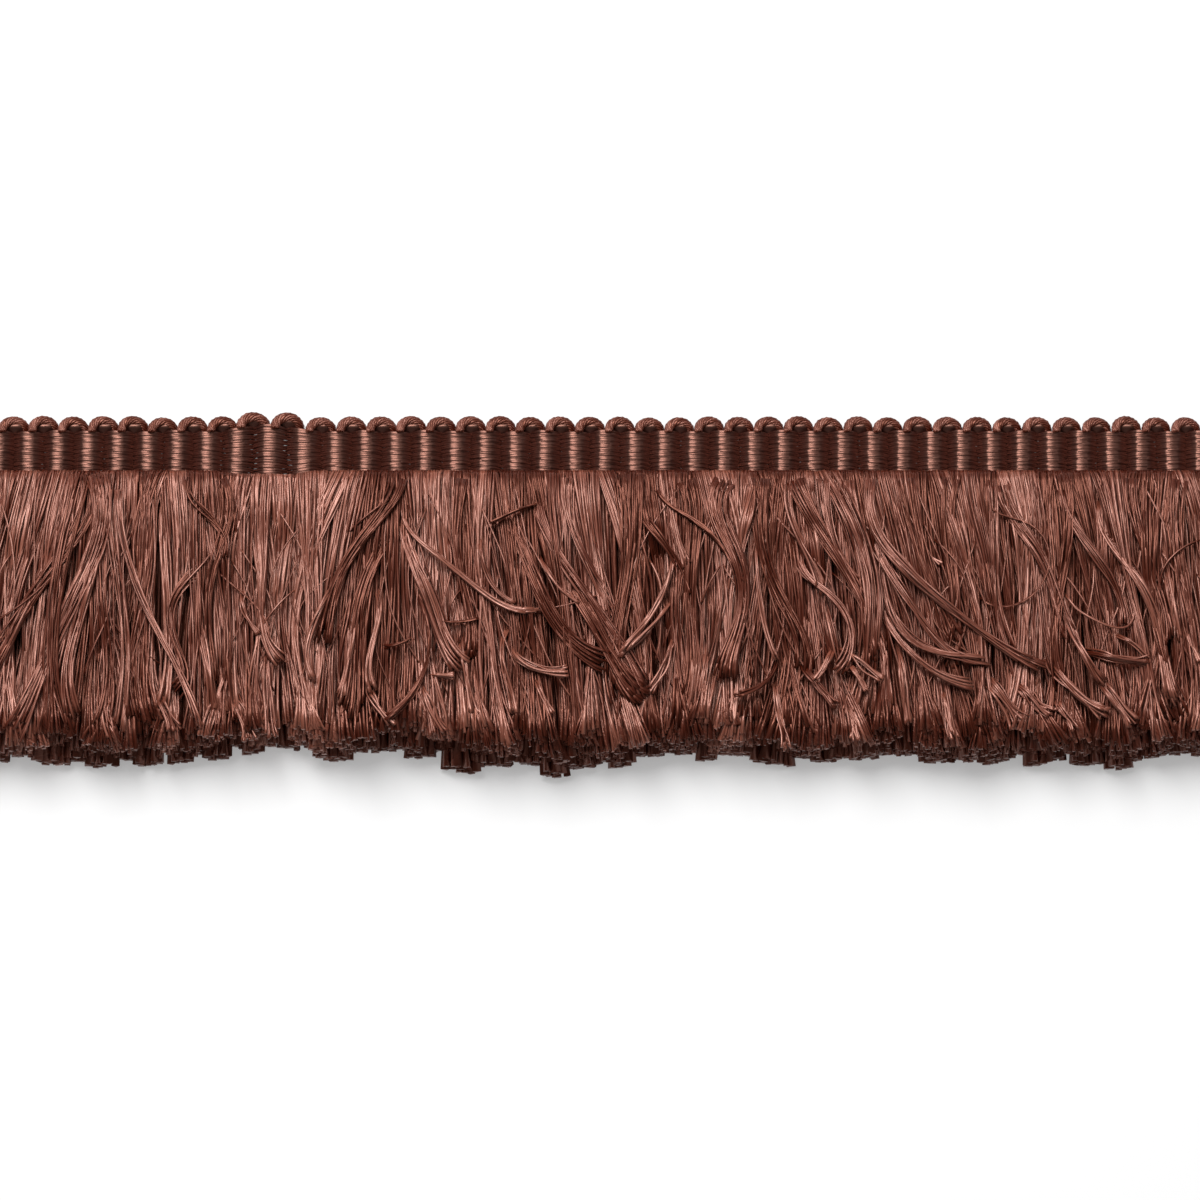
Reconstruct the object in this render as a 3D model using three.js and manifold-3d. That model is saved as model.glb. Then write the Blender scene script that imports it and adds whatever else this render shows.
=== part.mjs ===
// A cut length of brush fringe trim, lying face up on its back.
// Sizes are in millimetres. X runs along the trim, +Y points from the cut yarn ends to the looped edge
// of the heading, and +Z is up. While it is built, Y is 0 at the heading's lower edge, where the brush
// starts, and Z is 0 on the surface that it lies on. At the end the origin moves to the bottom centre.

import * as THREE from 'three';
import { mergeVertices } from 'three/addons/utils/BufferGeometryUtils.js';
import Module from 'manifold-3d';

const wasm = await Module();
wasm.setup();

// Driving sizes of the trim
const ribPitch = 3.255; // one weft rib to the next
const ribCount = 43;
const wideSpotAt = -34.3; // where the ribs spread a little, along the trim
const wideSpotExtra = 1.1; // added to the length there
const wideSpotReach = 3; // how far from its middle the spreading is felt
const trimLength = ribPitch * ribCount + wideSpotExtra;
const halfLength = trimLength / 2;
const clearance = 0.3; // air between pieces, and between locks
const finestStep = 0.005; // smaller steps than this are merged where bodies are fused

// Heading: a warp-covered band of ribs with a weft loop between each rib and the next
const bandWidth = 4.3; // from the brush to the foot of the loops
const ribTop = 1.9; // thickness at a rib's crest
const valleyTop = 1.05; // thickness between two ribs
const ribRoundness = 0.6; // exponent of the rib's section: less is squarer
const stepsPerRib = 5;
const loopThickness = 1.36; // the bundle of weft yarns, across its crown
const loopTaper = 0.2; // share by which the bundle is thinner at its feet
const loopSpan = 1.5; // between the middles of a loop's two legs
const loopReach = 5.9; // top of a loop above the band's lower edge
const loopFoot = 3.6; // where a leg starts, inside the band
const loopFrontZ = 1.15; // left legs lie in front
const loopBackZ = 0.8; // right legs lie behind
const loopUneven = 0.14; // how much the loops' tops vary
const loopWideRise = 0.7; // how much higher they stand over the wide spot
const loopTurns = 4; // steps in a loop's half circle
const loopSides = 6;

// Brush: locks of cut yarn in three layers, fused into the bound strip at their roots
const stripDepth = 2.3; // of the bound roots, measured from the heading
const rootDepth = 1.2; // where a lock starts, inside the strip
const heelHeight = 2.3; // face of the brush beside the heading
const faceHeight = 6.3; // face of the brush over the middle of the yarns
const heelLength = 2.9; // the distance in which the face rises
const tipDroop = 0.9; // the face sinks by this much towards the cut ends
const stripCover = 0.25; // skin of the strip over the locks' roots
const lockBevel = 0.16; // how much narrower a lock is on top, each side
const lockUneven = 0.3; // how much the lines between locks wander sideways at the roots
const lockSwell = 0.25; // how much single locks rise or sink in the face
const endUneven = 0.45; // how much single locks vary in length
const layers = [
  { locks: 71, combed: 0.55, shorter: 0, stations: [0, 0.3, 0.62, 1] },
  { locks: 70, combed: 0.8, shorter: 0.9, stations: [0, 0.2, 0.42, 0.7, 1] },
  { locks: 69, combed: 1, shorter: 2.1, stations: [0, 0.18, 0.36, 0.56, 0.78, 1] },
];

// How the brush lies, read along the trim, one row for each way in which its locks are combed.
// lean: how far the tips lie to the right of their roots; belly: how far the middle bows to the right;
// lift: how far the face stands over its plain height; reach: the length from the heading to the ends.
const combing = [
  { at: -70, lean: -2.0, belly: -0.2, lift: 0.0, reach: 32.0 },
  { at: -58, lean: -4.2, belly: -1.3, lift: 0.2, reach: 32.0 },
  { at: -50, lean: -1.0, belly: 0.3, lift: -0.4, reach: 32.3 },
  { at: -43, lean: 0.6, belly: 0.4, lift: 0.1, reach: 31.3 },
  { at: -34, lean: -0.4, belly: -0.4, lift: -0.5, reach: 29.9 },
  { at: -27, lean: -2.5, belly: -1.4, lift: 0.2, reach: 31.9 },
  { at: -20, lean: 0.2, belly: 0.2, lift: 0.5, reach: 31.4 },
  { at: -13, lean: 3.0, belly: 1.0, lift: 0.0, reach: 32.5 },
  { at: -6, lean: 3.6, belly: 0.4, lift: 0.6, reach: 33.0 },
  { at: 2, lean: 2.0, belly: 0.2, lift: 0.1, reach: 31.7 },
  { at: 9, lean: -0.2, belly: 0.8, lift: -0.4, reach: 31.6 },
  { at: 15, lean: -0.8, belly: 1.6, lift: 0.5, reach: 31.4 },
  { at: 22, lean: 2.6, belly: 0.6, lift: -0.2, reach: 32.2 },
  { at: 30, lean: 4.4, belly: 1.0, lift: 0.2, reach: 32.0 },
  { at: 38, lean: 3.8, belly: 1.2, lift: 0.4, reach: 32.6 },
  { at: 46, lean: 1.6, belly: 0.6, lift: -0.3, reach: 31.9 },
  { at: 54, lean: 2.8, belly: 0.8, lift: 0.3, reach: 32.4 },
  { at: 61, lean: 1.6, belly: 0.4, lift: -0.2, reach: 31.3 },
  { at: 70, lean: 1.2, belly: 0.2, lift: 0.0, reach: 31.6 },
];

const flossYarn = new THREE.MeshStandardMaterial({ color: 0x6e4136, roughness: 0.5, metalness: 0 });
const wovenYarn = new THREE.MeshStandardMaterial({ color: 0x5e3530, roughness: 0.45, metalness: 0 });

// A repeatable number from -1 to 1 for each whole number
function unevenness(index) {
  const wave = Math.sin(index * 127.1 + 31.7) * 43758.5453;
  return 2 * (wave - Math.floor(wave)) - 1;
}

// Where a count of ribs from the left end comes to lie along the trim
function ribPlace(ribs) {
  const even = ribPitch * (ribs - ribCount / 2);
  return even + (wideSpotExtra / 2) * Math.tanh((even - wideSpotAt) / wideSpotReach);
}

// One column of the combing table at a place along the trim, eased from row to row
function combed(column, along) {
  const last = combing.length - 1;
  if (along <= combing[0].at) return combing[0][column];
  if (along >= combing[last].at) return combing[last][column];
  const next = combing.findIndex((row) => row.at > along);
  const [a, b] = [combing[next - 1], combing[next]];
  const share = (along - a.at) / (b.at - a.at);
  return THREE.MathUtils.lerp(a[column], b[column], (1 - Math.cos(Math.PI * share)) / 2);
}

// How far the brush's face has risen, from 0 beside the heading to 1
function faceRise(down) {
  return 1 - Math.exp(-down / heelLength);
}

// Height of the brush's face over the surface, at a place along it and a distance from the heading
function brushFace(along, down) {
  const plain = heelHeight + (faceHeight - heelHeight) * faceRise(down);
  const droop = tipDroop * (down / combed('reach', along)) ** 3;
  return plain + combed('lift', along) * faceRise(down) ** 2 - droop;
}

// Where a yarn that is rooted at one place lies across the trim, at a share of its length
function combedPlace(root, share, strength) {
  const lean = combed('lean', root) * share ** 1.6;
  const belly = combed('belly', root) * Math.sin(Math.PI * share);
  return root + strength * (lean + belly);
}

// A closed body through rings of points, with its two ends capped
function loft(rings) {
  const sides = rings[0].length;
  const index = [];
  for (let r = 0; r + 1 < rings.length; r++) {
    for (let s = 0; s < sides; s++) {
      const [a, b] = [r * sides + s, r * sides + ((s + 1) % sides)];
      index.push(a, a + sides, b, b, a + sides, b + sides);
    }
  }
  const end = (rings.length - 1) * sides;
  for (let s = 1; s + 1 < sides; s++) {
    index.push(0, s, s + 1);
    index.push(end, end + s + 1, end + s);
  }
  return new THREE.BufferGeometry().setFromPoints(rings.flat()).setIndex(index);
}

// A three.js geometry as a manifold-3d solid
function toSolid(geometry) {
  const bare = new THREE.BufferGeometry();
  const source = geometry.index ? geometry.toNonIndexed() : geometry;
  bare.setAttribute('position', source.getAttribute('position'));
  const merged = mergeVertices(bare, 1e-4);
  const vertProperties = merged.attributes.position.array;
  return new wasm.Manifold(new wasm.Mesh({ numProp: 3, vertProperties, triVerts: merged.index.array }));
}

// The union of several solids as one three.js geometry
function fused(solids) {
  const mesh = wasm.Manifold.union(solids).simplify(finestStep).getMesh();
  const geometry = new THREE.BufferGeometry();
  geometry.setAttribute('position', new THREE.BufferAttribute(mesh.vertProperties, 3));
  geometry.setIndex(new THREE.BufferAttribute(mesh.triVerts, 1));
  geometry.computeVertexNormals();
  return geometry;
}

// The ribbed band: its section shows every rib and is drawn out across the heading
function ribbedBand() {
  const section = new THREE.Shape();
  section.moveTo(ribPlace(0), 0);
  section.lineTo(ribPlace(ribCount), 0);
  for (let step = ribCount * stepsPerRib; step >= 0; step--) {
    const ribs = step / stepsPerRib;
    const rise = Math.abs(Math.sin(Math.PI * ribs)) ** ribRoundness;
    section.lineTo(ribPlace(ribs), valleyTop + (ribTop - valleyTop) * rise);
  }
  section.closePath();
  const band = new THREE.ExtrudeGeometry(section, { depth: bandWidth, bevelEnabled: false });
  return toSolid(band.rotateX(Math.PI / 2).translate(0, bandWidth, 0));
}

// One turn of the weft over the heading's upper edge, from one rib to the next. Its legs lie close
// together, so it is the hull round a bundle that is bent in a half circle.
function weftLoop(ribs) {
  const middle = ribPlace(ribs);
  const wideness = Math.exp(-(((middle - wideSpotAt) / wideSpotReach) ** 2));
  const top = loopReach + loopUneven * unevenness(ribs) + loopWideRise * wideness;
  const crownY = top - (loopThickness + loopSpan) / 2;
  const ring = (share, turn, centreY) => {
    const outward = new THREE.Vector3(-Math.cos(turn), Math.sin(turn), 0);
    const height = THREE.MathUtils.lerp(loopFrontZ, loopBackZ, share);
    const centre = new THREE.Vector3(middle, centreY, height).addScaledVector(outward, loopSpan / 2);
    const radius = (loopThickness / 2) * (1 - loopTaper * (1 - Math.sin(Math.PI * share)));
    return Array.from({ length: loopSides }, (_, side) => {
      const angle = (2 * Math.PI * (side + 0.5)) / loopSides;
      const point = centre.clone().addScaledVector(outward, radius * Math.cos(angle));
      return point.setZ(height + radius * Math.sin(angle)).toArray();
    });
  };
  const rings = [ring(0, 0, loopFoot)];
  for (let step = 0; step <= loopTurns; step++) {
    rings.push(ring((step + 1) / (loopTurns + 2), (Math.PI * step) / loopTurns, crownY));
  }
  rings.push(ring(1, Math.PI, loopFoot));
  return wasm.Manifold.hull(rings.flat());
}

function heading() {
  const loops = Array.from({ length: ribCount - 1 }, (_, index) => weftLoop(index + 1));
  const mesh = new THREE.Mesh(fused([ribbedBand(), ...loops]), wovenYarn);
  mesh.name = 'heading';
  return mesh;
}

// The bound roots of the brush, a narrow strip along the heading's lower edge
function rootStrip() {
  const top = (down) => heelHeight + (faceHeight - heelHeight) * faceRise(down) + stripCover;
  const section = new THREE.Shape();
  section.moveTo(-clearance, 0);
  section.lineTo(-stripDepth, 0);
  section.lineTo(-stripDepth, top(stripDepth));
  section.lineTo(-rootDepth, top(rootDepth));
  section.lineTo(-clearance, top(clearance));
  section.closePath();
  const strip = new THREE.ExtrudeGeometry(section, { depth: trimLength, bevelEnabled: false });
  // The section's X becomes the trim's Y and its Y becomes Z
  const turn = new THREE.Matrix4().makeBasis(
    new THREE.Vector3(0, 1, 0), new THREE.Vector3(0, 0, 1), new THREE.Vector3(1, 0, 0));
  return toSolid(strip.applyMatrix4(turn).translate(-halfLength, 0, 0));
}

// One lock of cut yarn. It lies between two lines of the combed layer and widens or narrows with them.
function lock(layer, level, index) {
  const isFace = level === layers.length - 1;
  const seed = 100 * level + index;
  const parting = (count) => {
    const wander = count > 0 && count < layer.locks ? lockUneven * unevenness(7 * level + count) : 0;
    return (count / layer.locks - 0.5) * trimLength + wander;
  };
  const length = combed('reach', parting(index)) - layer.shorter + endUneven * unevenness(seed) - rootDepth;
  const corner = (edge, share, inset, isTop) => {
    const down = rootDepth + length * share;
    const along = combedPlace(parting(index + edge), share, layer.combed) + inset * (1 - 2 * edge);
    const thickness = (brushFace(along, down) - clearance * (layers.length - 1)) / layers.length;
    const swell = isFace ? lockSwell * unevenness(seed + 0.5) * Math.min(1, 2 * share) : 0;
    return new THREE.Vector3(along, -down, level * (thickness + clearance) + (isTop ? thickness + swell : 0));
  };
  const side = clearance / 2;
  const rings = layer.stations.map((share) => [
    corner(0, share, side, false),
    corner(0, share, side + lockBevel, true),
    corner(1, share, side + lockBevel, true),
    corner(1, share, side, false),
  ]);
  return toSolid(loft(rings));
}

function brush() {
  const locks = layers.flatMap((layer, level) =>
    Array.from({ length: layer.locks }, (_, index) => lock(layer, level, index)));
  const mesh = new THREE.Mesh(fused([rootStrip(), ...locks]), flossYarn);
  mesh.name = 'brush';
  return mesh;
}

const trim = new THREE.Group();
trim.add(heading(), brush());

// The origin is under the middle of the whole trim
const extent = new THREE.Box3().setFromObject(trim);
const middle = extent.getCenter(new THREE.Vector3());
trim.position.set(-middle.x, -middle.y, -extent.min.z);

export default trim;
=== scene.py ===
import math

import bpy
import numpy as np
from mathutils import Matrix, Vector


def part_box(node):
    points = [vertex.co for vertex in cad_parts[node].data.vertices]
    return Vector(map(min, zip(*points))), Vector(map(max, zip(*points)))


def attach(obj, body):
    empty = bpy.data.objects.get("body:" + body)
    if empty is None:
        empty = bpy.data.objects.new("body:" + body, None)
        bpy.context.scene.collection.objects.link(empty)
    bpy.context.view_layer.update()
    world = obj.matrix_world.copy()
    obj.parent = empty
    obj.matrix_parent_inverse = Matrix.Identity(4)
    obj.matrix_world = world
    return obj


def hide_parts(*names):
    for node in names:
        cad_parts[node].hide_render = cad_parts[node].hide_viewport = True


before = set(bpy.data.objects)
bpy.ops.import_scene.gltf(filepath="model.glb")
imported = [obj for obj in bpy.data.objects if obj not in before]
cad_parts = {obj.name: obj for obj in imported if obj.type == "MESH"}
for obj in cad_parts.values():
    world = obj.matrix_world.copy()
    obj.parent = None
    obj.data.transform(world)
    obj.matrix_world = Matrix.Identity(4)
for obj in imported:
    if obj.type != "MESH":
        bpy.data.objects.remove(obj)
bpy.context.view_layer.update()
mm = 0.001
chance = np.random.default_rng(31)  # seeded, so each run gives the same yarns

headingLow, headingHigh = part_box("heading")
trimLength = (headingHigh.x - headingLow.x) / mm
halfLength = trimLength / 2
trimMiddle = (headingHigh.x + headingLow.x) / 2
headingEdge = headingLow.y  # where the heading ends and the brush starts
print("frame loaded, trim of", round(trimLength, 1), "mm")


# Meshes of many thin yarns

def atFrame(points):
    return np.asarray(points) * mm + np.array([trimMiddle, headingEdge, 0.0])


def unit(vectors):
    return vectors / np.maximum(np.linalg.norm(vectors, axis=-1, keepdims=True), 1e-9)


# Corners of the rings round each yarn. A ring's width starts towards first and is carried along the yarn
# without turning.
def yarnRings(paths, widths, heights, sides, spins, first):
    count, steps, _ = paths.shape
    tangent = unit(np.gradient(paths, axis=1))
    across = np.empty_like(paths)
    carried = np.broadcast_to(np.array(first), (count, 3)).copy()
    for step in range(steps):
        along = tangent[:, step]
        carried = unit(carried - (carried * along).sum(1, keepdims=True) * along)
        across[:, step] = carried
    up = np.cross(tangent, across)
    turn = 2 * np.pi * (np.arange(sides) + 0.5) / sides + np.reshape(spins, (-1, 1, 1))
    return (
        paths[:, :, None]
        + (widths[..., None] * np.cos(turn))[..., None] * across[:, :, None]
        + (heights[..., None] * np.sin(turn))[..., None] * up[:, :, None]
    )


# Yarn coordinates of the walls: u once round the yarn, v in millimetres along it
def yarnCorners(paths, sides):
    count, steps, _ = paths.shape
    run = np.linalg.norm(np.diff(paths, axis=1), axis=2).cumsum(1)
    run = np.concatenate([np.zeros((count, 1)), run], 1)
    u = np.broadcast_to(np.arange(sides) / sides, (count, steps - 1, sides))
    low = np.broadcast_to(run[:, :-1, None], u.shape)
    high = np.broadcast_to(run[:, 1:, None], u.shape)
    return np.stack([u, low, u + 1 / sides, low, u + 1 / sides, high, u, high], -1).reshape(-1, 2)


# paths is yarns x steps x 3. widths and heights are half thicknesses, the same shape without the last axis.
# tones has one value a yarn or a step, from 0 for dark to 1 for light; besides each yarn's own tone it
# carries painted light and shade. spins turns each yarn's section.
def yarnMesh(name, paths, widths, sides, tones, heights=None, spins=0.0, first=(1.0, 0.0, 0.0)):
    count, steps, _ = paths.shape
    heights = widths if heights is None else heights
    rings = yarnRings(paths, widths, heights, sides, spins, first)
    base = (np.arange(count)[:, None] * steps + np.arange(steps)[None]) * sides
    here = base[:, :-1, None] + np.arange(sides)
    beside = base[:, :-1, None] + (np.arange(sides) + 1) % sides
    walls = np.stack([here, beside, beside + sides, here + sides], -1).reshape(-1, 4)
    starts = (base[:, 0, None] + np.arange(sides)[::-1]).tolist()
    ends = (base[:, -1, None] + np.arange(sides)).tolist()
    mesh = bpy.data.meshes.new(name)
    mesh.from_pydata(atFrame(rings.reshape(-1, 3)).tolist(), [], walls.tolist() + starts + ends)
    smooth = np.zeros(len(mesh.polygons), bool)
    smooth[: len(walls)] = True
    mesh.polygons.foreach_set("use_smooth", smooth)
    caps = np.zeros((2 * count * sides, 2))
    corners = np.concatenate([yarnCorners(paths, sides), caps])
    mesh.uv_layers.new(name="yarn").data.foreach_set("uv", corners.ravel())
    tone = mesh.attributes.new("tone", "FLOAT", "POINT")
    tones = np.broadcast_to(np.reshape(tones, (count, -1, 1)), (count, steps, sides))
    tone.data.foreach_set("value", tones.ravel())
    piece = bpy.data.objects.new(name, mesh)
    bpy.context.scene.collection.objects.link(piece)
    return piece


# Hands a finished piece to the frame
def settle(piece, material, node):
    piece.data.materials.append(material)
    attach(piece, "root")
    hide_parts(node)
    print(piece.name, len(piece.data.polygons), "faces")


# Materials

def linear(hexColour):
    parts = [int(hexColour[i:i + 2], 16) / 255 for i in (1, 3, 5)]
    return tuple(c / 12.92 if c <= 0.04045 else ((c + 0.055) / 1.055) ** 2.4 for c in parts) + (1.0,)


# Adds one node. A link is a socket name and either another node's socket or a value.
def addNode(tree, kind, links=(), **settings):
    node = tree.nodes.new(kind)
    for key, value in settings.items():
        setattr(node, key, value)
    for socket, source in links:
        if isinstance(source, bpy.types.NodeSocket):
            tree.links.new(source, node.inputs[socket])
        else:
            node.inputs[socket].default_value = source
    return node


# Colours evenly spaced over a level from 0 to 1
def colourRamp(tree, level, colours):
    ramp = addNode(tree, "ShaderNodeValToRGB", [("Fac", level)])
    stops = ramp.color_ramp.elements
    stops[0].color = linear(colours[0])
    stops[1].color = linear(colours[-1])
    for number, colour in enumerate(colours[1:-1], 1):
        stops.new(number / (len(colours) - 1)).color = linear(colour)
    return ramp.outputs["Color"]


# Viscose floss, combed and cut: filaments side by side shine in a streak across the yarn, without fuzz.
# Where a yarn's tone is dark, and painted shade adds to it, its shine is painted weaker and less pale.
flossLook = {
    "dark": "#350f06", "mid": "#4c1a0c", "light": "#8e5341", "darkGlint": "#ffa88c", "glint": "#ffd1c3",
    "roughness": 0.38, "anisotropy": 0.72, "specular": 1.0, "darkestShine": 0.6, "ior": 1.8,
    "girth": 0.95, "filament": 0.2,  # mm, filaments drawn in groups as coarse as the photo shows
    "run": 3.0,  # mm, how long a filament keeps its shade
    "relief": 0.1,  # mm
}

# Woven viscose: the same yarn drawn tight over the ribs, so it shines only where it lies flat.
# Its colours are painted darker than the floss's: painted shade on the slopes and in the valleys of the
# ribs.
wovenLook = {
    "dark": "#170a08", "mid": "#23100d", "light": "#301610", "darkGlint": "#ffb7a1", "glint": "#ffb7a1",
    "roughness": 0.42, "anisotropy": 0.85, "specular": 1.0, "darkestShine": 1.0, "ior": 1.78,
    "girth": 0.9, "filament": 0.12, "run": 0.8, "relief": 0.04,
}

# How a yarn's tone and the pattern of its filaments make its shade, in both looks
shading = {
    "shift": (91.0, 0.0, 37.0),  # the tone moves the pattern by this, so that yarns of other tones differ
    "detail": 2.0, "patchiness": 0.6, "contrast": 1.3, "darkest": 0.4, "lightest": 1.9, "bump": 0.8,
}


# Filaments along a yarn: a noise that is drawn out along it
def filamentPattern(tree, look, tone):
    yarnPlace = addNode(tree, "ShaderNodeUVMap", uv_map="yarn")
    apart = addNode(tree, "ShaderNodeCombineXYZ", [("X", tone), ("Z", tone)])
    stretched = addNode(tree, "ShaderNodeVectorMath", [
        (0, yarnPlace.outputs["UV"]), (1, (look["girth"] / look["filament"], 1 / look["run"], 1.0)),
    ], operation="MULTIPLY")
    placed = addNode(tree, "ShaderNodeVectorMath", [
        (0, apart.outputs["Vector"]), (1, shading["shift"]), (2, stretched.outputs["Vector"]),
    ], operation="MULTIPLY_ADD")
    noise = addNode(tree, "ShaderNodeTexNoise", [
        ("Vector", placed.outputs["Vector"]), ("Scale", 1.0),
        ("Detail", shading["detail"]), ("Roughness", shading["patchiness"]),
    ])
    return noise.outputs["Fac"]


def viscose(name, look):
    material = bpy.data.materials.new(name)
    material.use_nodes = True
    tree = material.node_tree
    tree.nodes.clear()
    tone = addNode(tree, "ShaderNodeAttribute", attribute_name="tone").outputs["Fac"]
    filaments = filamentPattern(tree, look, tone)
    shade = addNode(tree, "ShaderNodeMath", [
        (0, filaments), (1, shading["contrast"]), (2, tone),
    ], operation="MULTIPLY_ADD")
    level = addNode(tree, "ShaderNodeMapRange", [
        ("Value", shade.outputs["Value"]),
        ("From Min", shading["darkest"]), ("From Max", shading["lightest"]),
    ]).outputs["Result"]
    # Painted shade on the shine: it is weaker where the tone is dark
    shine = addNode(tree, "ShaderNodeMapRange", [
        ("Value", level), ("To Min", look["darkestShine"]), ("To Max", look["specular"]),
    ])
    bump = addNode(tree, "ShaderNodeBump", [
        ("Height", filaments), ("Distance", look["relief"] * mm), ("Strength", shading["bump"]),
    ])
    aroundYarn = addNode(tree, "ShaderNodeTangent", direction_type="UV_MAP", uv_map="yarn")
    shader = addNode(tree, "ShaderNodeBsdfPrincipled", [
        ("Base Color", colourRamp(tree, level, [look["dark"], look["mid"], look["light"]])),
        ("Specular Tint", colourRamp(tree, level, [look["darkGlint"], look["glint"]])),
        ("Specular IOR Level", shine.outputs["Result"]), ("IOR", look["ior"]),
        ("Normal", bump.outputs["Normal"]), ("Tangent", aroundYarn.outputs["Tangent"]),
        ("Roughness", look["roughness"]), ("Anisotropic", look["anisotropy"]),
    ])
    addNode(tree, "ShaderNodeOutputMaterial", [("Surface", shader.outputs["BSDF"])])
    return material


floss = viscose("combedViscoseFloss", flossLook)
woven = viscose("wovenViscoseSatin", wovenLook)
print("materials made")


# Heading: warp threads run along the trim, over one rib of weft and under the next, in two sheds

heading = {
    "ribPitch": 3.255, "bandWidth": 4.7, "below": 0.4, "ribTop": 1.9, "valley": 0.95, "steepness": 1.4,
    "flatTop": 0.3,  # share of a rib's width
    "threads": 38, "threadWidth": 0.4, "threadHeight": 0.06,
    "squeeze": 0.6,  # share of a thread's width that is left between two ribs
    "phases": (0, 0.1, 0.19, 0.28, 0.34, 0.5, 0.66, 0.72, 0.81, 0.9),  # a thread's steps over one rib
    "sideWaves": ((0.03, 2.1, 1.7), (0.025, 5.3, 2.9)),  # mm, radians a rib and radians a thread
    "heightWave": (0.02, 3.7, 1.0),
    "uneven": 0.08,  # mm, how far a thread's steps are off along the trim
}

# The spot where the weave is pulled wide: its ribs, its upper edge and its lower edge
wideSpot = {
    "at": -34.3, "extra": 1.1, "reach": 3.0,
    "riseAt": -36.2, "riseReach": 3.2, "rise": 0.8, "dipFrom": -41.0, "dipTo": -32.0, "dip": 0.45,
}
ribCount = round((trimLength - wideSpot["extra"]) / heading["ribPitch"])


# Where a count of ribs from the left end comes to lie along the trim
def ribPlace(ribs):
    even = heading["ribPitch"] * (np.asarray(ribs, float) - ribCount / 2)
    wide = np.tanh((even - wideSpot["at"]) / wideSpot["reach"])
    return even + wideSpot["extra"] / 2 * wide


def edgeRise(along):
    return wideSpot["rise"] * np.exp(-(((along - wideSpot["riseAt"]) / wideSpot["riseReach"]) ** 2))


def edgeDip(along):
    return wideSpot["dip"] / 2 * (np.tanh(along - wideSpot["dipFrom"]) - np.tanh(along - wideSpot["dipTo"]))


def ripple(ribs, thread, size, ribRate, threadRate):
    return size * np.sin(ribs * ribRate + thread * threadRate)


def makeWarp():
    h = heading
    ribs = (np.arange(ribCount)[:, None] + np.array(h["phases"])).ravel()
    ribs = np.append(ribs, ribCount)
    along = ribPlace(ribs)
    aside = np.abs(2 * (ribs % 1.0) - 1)
    arch = 1 - np.clip((aside - h["flatTop"]) / (1 - h["flatTop"]), 0, 1) ** h["steepness"]
    top, bottom = h["ribTop"] - h["threadHeight"] / 2, h["threadHeight"] / 2
    paths = []
    for thread in range(h["threads"]):
        over = (np.floor(np.minimum(ribs, ribCount - 0.001)) + thread) % 2 == 0
        z = h["valley"] + np.where(over, top - h["valley"], bottom - h["valley"]) * arch
        share = thread / (h["threads"] - 1)
        y = -h["below"] + h["threadWidth"] / 2 + (h["bandWidth"] - h["threadWidth"]) * share
        y = y + sum(ripple(ribs, thread, *row) for row in h["sideWaves"])
        y = y + edgeRise(along) * share - edgeDip(along) * (1 - share)
        x = along + chance.uniform(-h["uneven"], h["uneven"]) * arch
        paths.append(np.stack([x, y, z + ripple(ribs, thread, *h["heightWave"])], 1))
    width = h["threadWidth"] / 2 * (h["squeeze"] + (1 - h["squeeze"]) * arch)
    widths = np.tile(width, (h["threads"], 1))
    heights = np.full_like(widths, h["threadHeight"] / 2)
    tones = chance.uniform(0.1, 0.9, h["threads"])
    piece = yarnMesh("headingWarp", np.array(paths), widths, 6, tones, heights, first=(0, 1, 0))
    settle(piece, woven, "heading")


# Weft bundles inside the ribs, which show at the ends and between the warp threads. Where the weft turns
# from one rib to the next, a bundle's end rises inside the loop.
weft = {
    "apart": 1.0, "thickness": 1.0, "height": 0.5, "from": -0.3, "to": 4.2, "z": 0.9,
    "turnFrom": 3.6, "turnTo": 5.1, "turnZ": (0.4, 1.2), "turnWidth": 2.2, "turnHeight": 0.3,
    "turnTaper": (1.0, 1.0, 1.0, 0.9, 0.7),  # one value a step
}


def makeWeft():
    steps = len(weft["turnTaper"])
    paths, widths, heights = [], [], []
    for rib in range(ribCount):
        for side in (-0.5, 0.5):
            x = ribPlace(rib + 0.5) + side * weft["apart"]
            y = np.linspace(weft["from"], weft["to"] + edgeRise(x), steps)
            paths.append(np.stack([np.full(steps, x), y, np.full(steps, weft["z"])], 1))
            widths.append(np.full(steps, weft["thickness"] / 2))
            heights.append(np.full(steps, weft["height"]))
    for rib in range(1, ribCount):
        x = ribPlace(rib)
        y = np.linspace(weft["turnFrom"], weft["turnTo"], steps) + edgeRise(x)
        paths.append(np.stack([np.full(steps, x), y, np.linspace(*weft["turnZ"], steps)], 1))
        widths.append(weft["turnWidth"] / 2 * np.array(weft["turnTaper"]))
        heights.append(np.full(steps, weft["turnHeight"]))
    # The weft's tones are the darkest: painted shade, where it lies under the warp and inside the loops
    tones = chance.uniform(0.0, 0.1, len(paths))
    piece = yarnMesh("headingWeft", np.array(paths), np.array(widths), 8, tones, np.array(heights))
    settle(piece, woven, "heading")


# Loops: the weft turns over the upper edge from one rib to the next, as a short twisted rope
loop = {
    "reach": 5.95, "foot": 4.1, "span": 2.4, "rise": 1.0, "bundle": 1.1, "taper": 0.2,
    "leg": 0.12,  # share of the way that is straight, at each end
    "frontZ": 1.9, "backZ": 0.4, "uneven": 0.1,
    "wideGrowth": 0.18, "footRise": 0.8,  # how much it grows and rises for a mm that the upper edge rises
    "yarns": 9, "yarnThickness": 0.34, "twist": 1.3, "steps": 14,
    "tones": (0.1, 1.0), "paintedFootShade": 0.6,  # the far foot lies in the shade
}


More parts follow.
